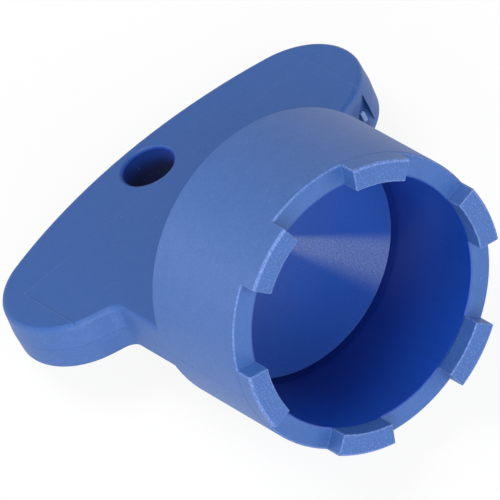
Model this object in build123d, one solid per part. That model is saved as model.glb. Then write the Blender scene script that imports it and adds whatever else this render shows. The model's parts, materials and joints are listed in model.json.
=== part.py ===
from build123d import *
import math
import os

# Aerator key, one injection moulding: a castellated crown (a short blind tube with six teeth round its mouth)
# on a flat wing handle. It is drawn flat in the key frame and then laid down as it rests on a table.
# Key frame: Y runs along the crown's axis from the tooth ends back to the handle, X along the wings and Z
# through the plate. The plate's middle plane, Z = 0, is the mould's parting plane. Millimetres and degrees.

# Crown
crown_radius = 11.31
bore_radius = 9.6
crown_length = 11.9
floor_thickness = 0.8
floor_corner_break = 0.35
back_rim_break = 0.15

# Teeth. The core forms them apart from the tube, so they stand a hair inside its two faces.
tooth_count = 6
tooth_height = 1.57
tooth_arc = 25.5
tooth_inset = 0.02
tooth_root = 0.5
end_edge_radius = 0.2
outer_edge_break = 0.14
inner_edge_break = 0.05

# Handle plate, measured at the parting plane
plate_thickness = 4.0
plate_draft = 3.0
plate_edge_radius = 0.45
handle_reach = 30.88
back_edge_radius = 39.3
lobe_radius = 5.82
wing_overhang = 5.21
front_sweep = 21.0
neck_step = 0.11
neck_corner_radius = 1.0
root_radius = 0.35

# Keyring hole
hole_radius = 2.03
hole_setback = 3.22
hole_edge_break = 0.22

# Gate relief in the front wall of the +X wing: a three-sided pocket that ends at the side of the mould's
# insert, where it is deepest, and runs out towards the neck. The broken stub of the gate stands in it.
insert_half_width = 14.05
relief_length = 1.9
relief_depth = 0.6
relief_height = 3.1
stub_offset = 0.9
stub_width = 0.34
stub_height = 0.8
stub_projection = 0.05

half_thickness = plate_thickness / 2
neck_half_width = crown_radius - neck_step
bore_depth = crown_length - floor_thickness
plate_start = crown_length - floor_thickness / 2
sweep = math.radians(front_sweep)
lobe_offset = crown_radius + wing_overhang - lobe_radius
back_centre = Vector(0, handle_reach - back_edge_radius)
lobe_reach = back_edge_radius - lobe_radius
lobe_centre = Vector(lobe_offset, back_centre.Y + math.sqrt(lobe_reach**2 - lobe_offset**2))


def tube():
    """The tube and its floor, up to the level of the gaps: one section turned about the crown's axis."""
    section = make_face(
        Polyline(
            (0, bore_depth),
            (bore_radius, bore_depth),
            (bore_radius, tooth_height),
            (crown_radius, tooth_height),
            (crown_radius, crown_length),
            (0, crown_length),
            close=True,
        )
    )
    broken_corners = [
        ((bore_radius, bore_depth), floor_corner_break),
        ((bore_radius, tooth_height), inner_edge_break),
        ((crown_radius, tooth_height), outer_edge_break),
        ((crown_radius, crown_length), back_rim_break),
    ]
    for corner, size in broken_corners:
        section = chamfer(section.vertices().sort_by_distance(corner)[0], size)
    return revolve(section, Axis.Y)


def tooth():
    """One tooth with radial sides, rooted in the tube's wall, its outer end edge rounded."""
    inner = bore_radius + tooth_inset
    outer = crown_radius - tooth_inset
    length = tooth_height + tooth_root
    section = Pos((inner + outer) / 2, length / 2) * Rectangle(outer - inner, length)
    block = revolve(section, Axis.Y, revolution_arc=tooth_arc).rotate(Axis.Y, -tooth_arc / 2)

    def lies_at(edge, radius, level):
        middle = edge @ 0.5
        return abs(math.hypot(middle.X, middle.Z) - radius) < 1e-3 and abs(middle.Y - level) < 1e-3

    block = fillet([e for e in block.edges() if lies_at(e, outer, 0)], end_edge_radius)
    finished = [(outer - end_edge_radius, 0), (outer, end_edge_radius)]
    sharp = [
        e
        for e in block.edges()
        if (e @ 0.5).Y < length - 1e-3 and not any(lies_at(e, radius, level) for radius, level in finished)
    ]
    return chamfer(sharp, inner_edge_break)


def crown():
    """The castellated crown: the tube and its ring of teeth, the first one centred on the plate's plane."""
    body = tube()
    one_tooth = tooth()
    for index in range(tooth_count):
        body += one_tooth.rotate(Axis.Y, index * 360 / tooth_count)
    return body


def front_edge_y(x):
    """Where the +X wing's front edge lies at the parting plane: on its swept line, then on the lobe."""
    along = x - lobe_centre.X
    if along > lobe_radius * math.sin(sweep):
        return lobe_centre.Y - math.sqrt(lobe_radius**2 - along**2)
    return lobe_centre.Y + (along * math.sin(sweep) - lobe_radius) / math.cos(sweep)


def plate_outline():
    """The plate's outline at the parting plane: back arc, lobe, front edge, neck, and their mirror image."""
    to_lobe = (lobe_centre - back_centre).normalized()
    front_normal = Vector(math.sin(sweep), -math.cos(sweep))
    lobe_start = back_centre + to_lobe * back_edge_radius
    lobe_middle = lobe_centre + (to_lobe + front_normal).normalized() * lobe_radius
    lobe_end = lobe_centre + front_normal * lobe_radius
    neck_corner = (neck_half_width, front_edge_y(neck_half_width))
    half_turn = math.degrees(math.atan2(to_lobe.X, to_lobe.Y))
    with BuildSketch(Plane.XY) as outline:
        with BuildLine():
            CenterArc((back_centre.X, back_centre.Y), back_edge_radius, 90 - half_turn, half_turn)
            ThreePointArc(lobe_start, lobe_middle, lobe_end)
            Line(lobe_end, neck_corner)
            Line(neck_corner, (neck_half_width, plate_start))
            Line((neck_half_width, plate_start), (0, plate_start))
            mirror(about=Plane.YZ)
        face = make_face()
        inner_corners = [
            v
            for v in face.vertices()
            if abs(abs(v.X) - neck_half_width) < 1e-3 and abs(v.Y - neck_corner[1]) < 1e-3
        ]
        fillet(inner_corners, neck_corner_radius)
    return outline.sketch


def plate():
    """The wing plate: two drafted halves that meet at the parting plane, rounded where they show."""
    half = extrude(plate_outline(), amount=half_thickness, taper=plate_draft)
    body = half + half.mirror(Plane.XY)
    rims = [
        e
        for e in body.edges()
        if abs(abs((e @ 0.5).Z) - half_thickness) < 1e-3 and (e @ 0.5).Y > crown_length
    ]
    return fillet(rims, plate_edge_radius)


def with_keyring_hole(body):
    """The plate pierced near its back edge, both mouths of the hole broken."""
    body -= Pos(0, handle_reach - hole_setback, 0) * Cylinder(hole_radius, 2 * plate_thickness)
    mouths = [
        e
        for e in body.edges().filter_by(GeomType.CIRCLE)
        if abs(e.radius - hole_radius) < 1e-3 and abs(abs((e @ 0.5).Z) - half_thickness) < 1e-3
    ]
    return chamfer(mouths, hole_edge_break)


def root_cove():
    """The hollow rounding between the plate's top face and the back of the crown."""
    draft_step = half_thickness * math.tan(math.radians(plate_draft))
    flat_half_width = neck_half_width - draft_step - plate_edge_radius
    cove = Rectangle(root_radius, root_radius, align=Align.MIN)
    cove -= Pos(root_radius, root_radius) * Circle(root_radius)
    root = Plane(origin=(-flat_half_width, crown_length, half_thickness), x_dir=(0, 1, 0), z_dir=(1, 0, 0))
    return extrude(root * cove, amount=2 * flat_half_width)


def gate_relief():
    """The pocket's three-sided cutter, drawn half as large again from its deepest corner."""
    reach = 1.5
    deepest = Vector(insert_half_width, front_edge_y(insert_half_width) + relief_depth, 0)
    run_out = insert_half_width - relief_length
    tip = deepest + reach * (Vector(run_out, front_edge_y(run_out), 0) - deepest)
    end = Plane(origin=deepest, x_dir=(0, 1, 0), z_dir=(1, 0, 0)) * make_face(
        Polyline(
            (0, 0),
            (-reach * relief_depth, reach * relief_height / 2),
            (-reach * relief_depth, -reach * relief_height / 2),
            close=True,
        )
    )
    return loft([end, Vertex(*tip)])


def gate_stub():
    """The broken end of the gate, rooted in the wall and a hair proud of it."""
    middle = insert_half_width - stub_offset
    depth = 2 * relief_depth
    front = front_edge_y(middle) - stub_projection
    return Pos(middle, front + depth / 2, 0) * Box(stub_width, depth, stub_height)


def laid_down(body):
    """Rolled back until the crown's back rim and the plate's lower back edge touch the table, and centred."""
    rim = Vector(crown_length - back_rim_break, -crown_radius)
    edge_centre_z = plate_edge_radius - half_thickness
    slope = math.radians(plate_draft)
    edge_centre_y = handle_reach + edge_centre_z * math.tan(slope) - plate_edge_radius / math.cos(slope)
    between = Vector(edge_centre_y, edge_centre_z) - rim
    tilt = math.atan2(between.Y, between.X) - math.asin(plate_edge_radius / between.length)
    body = body.rotate(Axis.X, -math.degrees(tilt))
    box = body.bounding_box()
    return Pos(-box.center().X, -box.center().Y, -box.min.Z) * body


handle = with_keyring_hole(plate()) - gate_relief() + gate_stub()
key = laid_down(crown() + handle + root_cove() + root_cove().mirror(Plane.XY))

os.makedirs("parts", exist_ok=True)
export_step(key, "parts/aerator_key.step")
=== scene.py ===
import json
import math

import bpy
from mathutils import Euler, Matrix, Vector

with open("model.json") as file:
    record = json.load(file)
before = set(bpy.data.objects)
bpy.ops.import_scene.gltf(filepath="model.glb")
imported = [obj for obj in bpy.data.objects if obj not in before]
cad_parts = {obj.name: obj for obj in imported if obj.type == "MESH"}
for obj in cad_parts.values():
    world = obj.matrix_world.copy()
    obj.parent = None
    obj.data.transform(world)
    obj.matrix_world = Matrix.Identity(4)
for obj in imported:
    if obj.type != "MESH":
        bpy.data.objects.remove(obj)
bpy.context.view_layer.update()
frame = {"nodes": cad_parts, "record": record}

# The key: one injection moulding in satin blue polypropylene. Its finish is drawn in millimetres in the key's
# own frame, which its mounts give: x along the wings, y from the tooth ends back to the handle, and z through
# the plate, with the mould's parting plane at z = 0.
MM = 0.001
mounts = {mount["name"]: mount for mount in frame["record"]["mounts"]}
crown_axis = Vector(mounts["crown_bore"]["axis"])
tooth_end = Vector(mounts["tooth_end"]["pos_m"])
key_origin = Vector((0, tooth_end.y, tooth_end.z))
key_tilt = math.atan2(crown_axis.z, -crown_axis.y)

satin_blue = (0.036, 0.112, 0.352, 1)
satin_blue_pale = (0.042, 0.120, 0.370, 1)
plate_tone_and_shade_blue = (0.014, 0.084, 0.324, 1)
bore_tone_and_shade_blue = (0.004, 0.054, 0.365, 1)
bore_shade_blue = (0.003, 0.024, 0.225, 1)
lit_floor_blue = (0.014, 0.074, 0.375, 1)
hole_shade_blue = (0.002, 0.010, 0.080, 1)
highlight_and_rub_blue = (0.150, 0.250, 0.590, 1)
stress_white = (0.300, 0.440, 0.800, 1)
groove_and_shade_blue = (0.006, 0.040, 0.200, 1)

crown_outer = 11.31
bore_wall = 9.6
tooth_root = 1.57
tooth_pitch = math.radians(60)
tooth_half_arc = math.radians(12.75)
end_edge_radius = 0.2
floor_level = 11.1
crown_back = 11.9
plate_top = 2.0
insert_side = 14.0
insert_back = 25.3
gate_side = 13.15
rough_patch_place = (12.66, 18.1, 0.0)
hole_place = (0.0, 27.66, 0.0)
hole_wall = 2.03
glare_blue = (0.180, 0.250, 0.500, 1)
glare_apex = (-1.6, 3.65)
glare_heading = math.radians(-48.0)


class Wire:
    """A shader socket. Python's operators on it add Math nodes, and node() adds every other kind."""

    def __init__(self, tree, socket=None):
        self.tree = tree
        self.socket = socket

    def node(self, kind, settings=None, sockets=None, output=0):
        new = self.tree.nodes.new(kind)
        for name, value in (settings or {}).items():
            setattr(new, name, value)
        for name, value in (sockets or {}).items():
            if isinstance(value, Wire):
                self.tree.links.new(value.socket, new.inputs[name])
            else:
                new.inputs[name].default_value = value
        return Wire(self.tree, new.outputs[output] if new.outputs else None)

    def maths(self, operation, *values):
        return self.node("ShaderNodeMath", {"operation": operation}, dict(enumerate(values)))

    def __add__(self, other):
        return self.maths("ADD", self, other)

    def __radd__(self, other):
        return self.maths("ADD", other, self)

    def __sub__(self, other):
        return self.maths("SUBTRACT", self, other)

    def __rsub__(self, other):
        return self.maths("SUBTRACT", other, self)

    def __mul__(self, other):
        return self.maths("MULTIPLY", self, other)

    def __rmul__(self, other):
        return self.maths("MULTIPLY", other, self)

    def __truediv__(self, other):
        return self.maths("DIVIDE", self, other)

    def __pow__(self, other):
        return self.maths("POWER", self, other)

    def __abs__(self):
        return self.maths("ABSOLUTE", self)

    def larger(self, other):
        return self.maths("MAXIMUM", self, other)

    def vector_maths(self, operation, other):
        """The number that a Vector Math node gives for this vector and the other one."""
        settings = {"operation": operation}
        return self.node("ShaderNodeVectorMath", settings, {0: self, 1: other}, output="Value")

    def rise(self, low, high):
        """0 below low and 1 above high, smooth between."""
        return self.node(
            "ShaderNodeMapRange",
            {"interpolation_type": "SMOOTHSTEP"},
            {"Value": self, "From Min": low, "From Max": high},
        )

    def fall(self, low, high):
        """1 below low and 0 above high, smooth between."""
        return 1 - self.rise(low, high)

    def line(self, half_width):
        """1 where the value is zero, falling to 0 at half_width to either side."""
        return abs(self).fall(0, half_width)

    def mix(self, under, over):
        """The colour or direction under where this mask is 0, and over where it is 1."""
        return self.node("ShaderNodeMix", {"data_type": "RGBA"}, {0: self, 6: under, 7: over}, output=2)


def new_finish(name):
    """An empty node material and its starting wire."""
    material = bpy.data.materials.new(name)
    material.use_nodes = True
    material.node_tree.nodes.clear()
    return material, Wire(material.node_tree)


def moulded_plastic():
    """The key's whole finish."""
    material, start = new_finish("satin_blue_plastic")
    object_place = start.node("ShaderNodeTexCoord", output="Object")
    key_roll = (-key_tilt, 0, 0)
    place = start.node(
        "ShaderNodeMapping",
        {"vector_type": "TEXTURE"},
        {"Vector": object_place, "Location": key_origin, "Rotation": key_roll, "Scale": (MM, MM, MM)},
    )

    def noise(scale, detail, roughness=0.5, vector=place):
        sockets = {"Vector": vector, "Scale": scale, "Detail": detail, "Roughness": roughness}
        return start.node("ShaderNodeTexNoise", {}, sockets)

    def join(x, y, z):
        return start.node("ShaderNodeCombineXYZ", {}, {"X": x, "Y": y, "Z": z})

    x = start.node("ShaderNodeSeparateXYZ", {}, {"Vector": place}, output="X")
    y = start.node("ShaderNodeSeparateXYZ", {}, {"Vector": place}, output="Y")
    z = start.node("ShaderNodeSeparateXYZ", {}, {"Vector": place}, output="Z")
    radius = (x * x + z * z) ** 0.5

    # The core's side: the bore and its floor come off turned and polished steel. With the hole, they are coloured
    # a deeper blue, partly their own tone and partly painted shade inside the hollows.
    core_side = radius.fall(bore_wall + 0.02, bore_wall + 0.20) * y.rise(tooth_root - 0.1, tooth_root)
    core_side = core_side * y.fall(floor_level + 0.1, crown_back - 0.2)
    core_floor = core_side * y.rise(floor_level - 0.3, floor_level - 0.1)
    core_wall = core_side - core_floor
    from_hole = (x * x + (y - hole_place[1]) ** 2) ** 0.5
    in_hole = from_hole.fall(hole_wall + 0.05, hole_wall + 0.15)
    in_hollows = core_side.larger(in_hole)
    broad_face = abs(z).rise(plate_top - 0.30, plate_top - 0.05) * y.rise(crown_back + 0.1, crown_back + 0.4)
    corner = core_side * radius.rise(bore_wall - 0.40, bore_wall - 0.34)
    corner = corner * y.rise(floor_level - 0.42, floor_level - 0.34)

    # Grain of the spark-eroded cavity, the sinks over thick places, and a slow mottle in the colour.
    grain = noise(7.0, 3.0, 0.62)
    sink = noise(0.22, 1.0)
    mottle = noise(1.1, 3.0, 0.6)

    # Lathe rings on the floor of the bore, and draw marks along its wall.
    rings = noise(1.0, 3.0, 0.7, join(radius * 9.0, 3.7, 0.0))
    draws = noise(1.0, 3.0, 0.6, join(x * 3.2, y * 0.22, z * 3.2))

    # Witness of the insert on the plate's top: a hairline round the panel that it forms.
    on_top = z.rise(plate_top - 0.4, plate_top - 0.2) * y.rise(crown_back + 0.1, crown_back + 0.3)
    beyond_insert = (abs(x) - insert_side).larger(y - insert_back)
    insert_line = beyond_insert.line(0.07) * on_top
    insert_step = beyond_insert.rise(-0.03, 0.03) * on_top

    # Parting line round the outside.
    outside = radius.rise(crown_outer - 0.5, crown_outer - 0.3)
    parting_line = z.line(0.055) * outside * y.rise(tooth_root, tooth_root + 0.05)

    # Pale specks of dust and rub on the outside.
    cell = start.node("ShaderNodeTexVoronoi", {}, {"Vector": place, "Scale": 1.9}, output="Distance")
    speck_field = noise(0.32, 2.0).rise(0.50, 0.66)
    speck = cell.fall(0.05, 0.11) * speck_field * (1 - core_side)

    # The gate: the stub's whitened break, with a darker patch of rough grain beside it, and the pocket round them
    # darkened as painted shade in its recess.
    stub = abs(x - gate_side).fall(0.18, 0.24) * abs(z).fall(0.42, 0.50) * y.fall(18.20, 18.32)
    from_rough_patch = place.vector_maths("DISTANCE", rough_patch_place)
    rough_patch = from_rough_patch.fall(0.25, 0.50) * noise(5.0, 2.0).rise(0.35, 0.55)
    pocket = from_rough_patch.fall(1.1, 1.5)

    # A painted glare on the floor of the bore: a pale, speckled fan of highlight.
    across = (z - glare_apex[1]) * math.cos(glare_heading) - (x - glare_apex[0]) * math.sin(glare_heading)
    along = (x - glare_apex[0]) * math.cos(glare_heading) + (z - glare_apex[1]) * math.sin(glare_heading)
    spread = across / along.larger(0.5)
    fleck = noise(9.0, 2.0, 0.7)
    glare = spread.rise(-0.26, -0.06) * spread.fall(0.06, 0.17) * along.rise(0.5, 2.0) * core_floor
    glare = glare * (0.30 + fleck.rise(0.30, 0.70) * 0.70) * (1 - corner)

    # Convex edges of the crown, painted pale: partly the cavity's grain rubbed pale, partly a painted highlight
    # where the rounded edges catch the light. Round the tooth ends, down the teeth's sides, round the floors of
    # the gaps and round the back.
    at_outside = radius.rise(crown_outer - 0.20, crown_outer - 0.12)
    at_inside = radius.fall(bore_wall + 0.08, bore_wall + 0.14)
    on_end = y.fall(0.06, 0.12)
    turn = start.maths("ARCTAN2", z, x)
    from_middle = abs(start.maths("WRAP", turn, tooth_pitch / 2, -tooth_pitch / 2))
    beside_tooth = (from_middle - tooth_half_arc) * radius
    end_rim = y.fall(0.8 * end_edge_radius, 1.3 * end_edge_radius)
    end_rim = (end_rim * radius.rise(crown_outer - 1.3 * end_edge_radius, crown_outer - 0.8 * end_edge_radius))
    end_rim = end_rim.larger(on_end * at_inside)
    side_rim = beside_tooth.line(0.12) * y.fall(tooth_root - 0.15, tooth_root)
    side_rim = side_rim * at_outside.larger(at_inside).larger(on_end)
    gap_rim = (y - tooth_root - 0.07).line(0.13) * at_outside * radius.fall(crown_outer - 0.04, crown_outer - 0.02)
    back_rim = (y - crown_back + 0.07).line(0.13) * at_outside * radius.fall(crown_outer - 0.03, crown_outer)
    rims = end_rim.larger(side_rim).larger(gap_rim * 0.7).larger(back_rim * 0.7)
    rub_and_highlight = rims * (0.35 + grain.rise(0.40, 0.60) * 0.65)
    # The tooth ends' faces are speckled paler.
    end_speckle = y.fall(0.02, 0.06) * grain.rise(0.50, 0.66)

    # Colour
    colour = mottle.rise(0.25, 0.75).mix(satin_blue, satin_blue_pale)
    # The plate's broad faces take a deeper blue, partly the plate's own tone and partly painted shade on faces
    # that take less light; the gate's pocket takes it as painted shade in its recess.
    colour = (broad_face.larger(pocket) * (0.75 + mottle * 0.4)).mix(colour, plate_tone_and_shade_blue)
    # Painted shade: the bore's wall darkens towards its floor, and the small chamfer round the floor takes the
    # same dark colour.
    shade_to_floor = core_wall * y.rise(5.0, floor_level)
    # The bore and the hole take a deeper blue: partly the core's own tone, partly painted shade inside these
    # hollows.
    colour = in_hollows.mix(colour, bore_tone_and_shade_blue)
    # Painted light: the bore's floor is lighter than its wall, where more light falls in on it.
    colour = core_floor.mix(colour, lit_floor_blue)
    colour = shade_to_floor.larger(corner).mix(colour, bore_shade_blue)
    # Painted shade: the lower part of the hole's wall is near black.
    colour = (in_hole * z.fall(0.0, 1.6)).mix(colour, hole_shade_blue)
    # Painted highlight: the pale glare fan on the bore's floor.
    colour = glare.mix(colour, glare_blue)
    # Painted shade in the gate's pocket; the parting line and the rough patch beside the stub are darker too.
    colour = (parting_line * 0.35).larger(rough_patch * 0.7).larger(pocket * 0.3).mix(colour, groove_and_shade_blue)
    # Painted highlight with rub along the convex edges, and paler specks on the tooth ends; the insert's hairline
    # takes the same pale blue.
    colour = (rub_and_highlight * 0.9).larger(end_speckle * 0.35).larger(insert_line * 0.12).mix(colour, highlight_and_rub_blue)
    colour = (speck * 0.35).larger(stub * 0.7).mix(colour, stress_white)
    shade = 1 + (grain - 0.5) * (0.80 - core_side * 0.30) + (draws - 0.5) * core_wall * 0.30
    colour = start.node("ShaderNodeVectorMath", {"operation": "SCALE"}, {"Vector": colour, "Scale": shade})

    # Relief. The small chamfer round the bore's floor is shaded as the wall, because it is a sharp corner there.
    bevel = start.node("ShaderNodeBevel", {"samples": 8}, {"Radius": 0.13 * MM})
    inward = start.node("ShaderNodeMapping", {"vector_type": "VECTOR"}, {"Vector": join(-1 * x, 0.0, -1 * z), "Rotation": key_roll})
    inward = start.node("ShaderNodeVectorMath", {"operation": "NORMALIZE"}, {0: inward})
    facing = corner.mix(bevel, inward)
    height = (
        grain * (0.026 - core_side * 0.020)
        + sink * 0.05 * (1 - core_side)
        + rings * 0.012 * core_floor
        + draws * 0.010 * core_wall
        + insert_step * 0.020
        + insert_line * 0.030
        + parting_line * 0.012
        + rough_patch * 0.06
    )
    relief = start.node(
        "ShaderNodeBump", {}, {"Strength": 1.0, "Distance": MM, "Height": height, "Normal": facing}
    )

    # Gloss
    roughness = 0.45 + grain * 0.10 - core_side * 0.12 + in_hole * 0.4 + parting_line * 0.1

    plastic = start.node(
        "ShaderNodeBsdfPrincipled",
        {},
        {"Base Color": colour, "Roughness": roughness, "IOR": 1.49, "Normal": relief},
    )
    start.node("ShaderNodeOutputMaterial", {}, {"Surface": plastic})
    return material


key = frame["nodes"]["aerator_key"]
key.data.materials.clear()
key.data.materials.append(moulded_plastic())

# The table: a plain pale top, far larger than the view. The camera and the gloss see most of it as the
# white of the studio, and the rest of it as a matt surface that keeps the key's soft shadow.
floor_size = 1.2
table_pale = (0.86, 0.86, 0.86, 1)
white = (1.0, 1.0, 1.0, 1)
glow_share = 0.90
gloss_share = 0.30
bpy.ops.mesh.primitive_plane_add(size=floor_size, location=(0, 0, 0))
table = bpy.context.object
table.name = "table"


def looked_at(start, in_gloss):
    """1 for what the camera sees, also through glass, in_gloss for what a gloss shows, 0 for other light."""

    def ray(kind):
        return start.node("ShaderNodeLightPath", output=f"Is {kind} Ray")

    return ray("Camera").larger(ray("Transmission")).larger(ray("Glossy") * in_gloss)


material, start = new_finish("pale_table")
matt = start.node("ShaderNodeBsdfPrincipled", {}, {"Base Color": table_pale, "Roughness": 0.8})
glow = start.node("ShaderNodeEmission", {}, {"Color": white, "Strength": 1.0})
top = start.node("ShaderNodeMixShader", {}, {0: looked_at(start, gloss_share) * glow_share, 1: matt, 2: glow})
start.node("ShaderNodeOutputMaterial", {}, {"Surface": top})
table.data.materials.append(material)

# The studio: white all round for the camera, with six soft round lamps that light the key like a light tent,
# the strongest one above its back edge.
fill_level = 0.03
world = bpy.data.worlds.new("studio")
bpy.context.scene.world = world
world.use_nodes = True
world.node_tree.nodes.clear()
sky = Wire(world.node_tree)
strength = fill_level + looked_at(sky, 1.0) * (1 - fill_level)
backdrop = sky.node("ShaderNodeBackground", {}, {"Color": white, "Strength": strength})
sky.node("ShaderNodeOutputWorld", {}, {"Surface": backdrop})

lamp_distance = 1.0
lamp_width = 0.5


def soft_lamp(name, azimuth, elevation, power):
    """A round area lamp that faces the key from these angles."""
    around, above = math.radians(azimuth), math.radians(elevation)
    away = Vector((math.cos(above) * math.cos(around), math.cos(above) * math.sin(around), math.sin(above)))
    lamp = bpy.data.lights.new(name, "AREA")
    lamp.shape = "DISK"
    lamp.size = lamp_width
    lamp.energy = power
    stand = bpy.data.objects.new(name, lamp)
    stand.location = away * lamp_distance
    stand.rotation_euler = away.to_track_quat("Z", "Y").to_euler()
    bpy.context.scene.collection.objects.link(stand)


soft_lamp("over_back_edge", 120, 68, 6.2)
soft_lamp("high_left", 225, 42, 3.0)
soft_lamp("high_front", 270, 42, 3.2)
soft_lamp("low_back_left", 135, 15, 2.0)
soft_lamp("low_left", 225, 15, 3.2)
soft_lamp("low_right", 315, 15, 2.5)

# The camera: the photograph's viewing angle, far off with a long lens.
view_azimuth = -34.643
view_elevation = 59.686
view_roll = 9.239
view_distance = 0.8323
view_lens = 828.6
aim_right = -1.242 * MM
aim_up = -1.516 * MM
turn = Euler((math.radians(90 - view_elevation), 0, math.radians(view_azimuth))).to_matrix()
turn = turn @ Matrix.Rotation(-math.radians(view_roll), 3, "Z")
camera = bpy.data.cameras.new("camera")
camera.lens = view_lens
camera.sensor_width = 36
eye = bpy.data.objects.new("camera", camera)
aim = Vector((0, 0, 12.4 * MM)) + turn @ Vector((aim_right, aim_up, 0))
eye.matrix_world = Matrix.Translation(aim + turn @ Vector((0, 0, view_distance))) @ turn.to_4x4()
bpy.context.scene.collection.objects.link(eye)
bpy.context.scene.camera = eye
bpy.context.scene.view_settings.view_transform = "Standard"
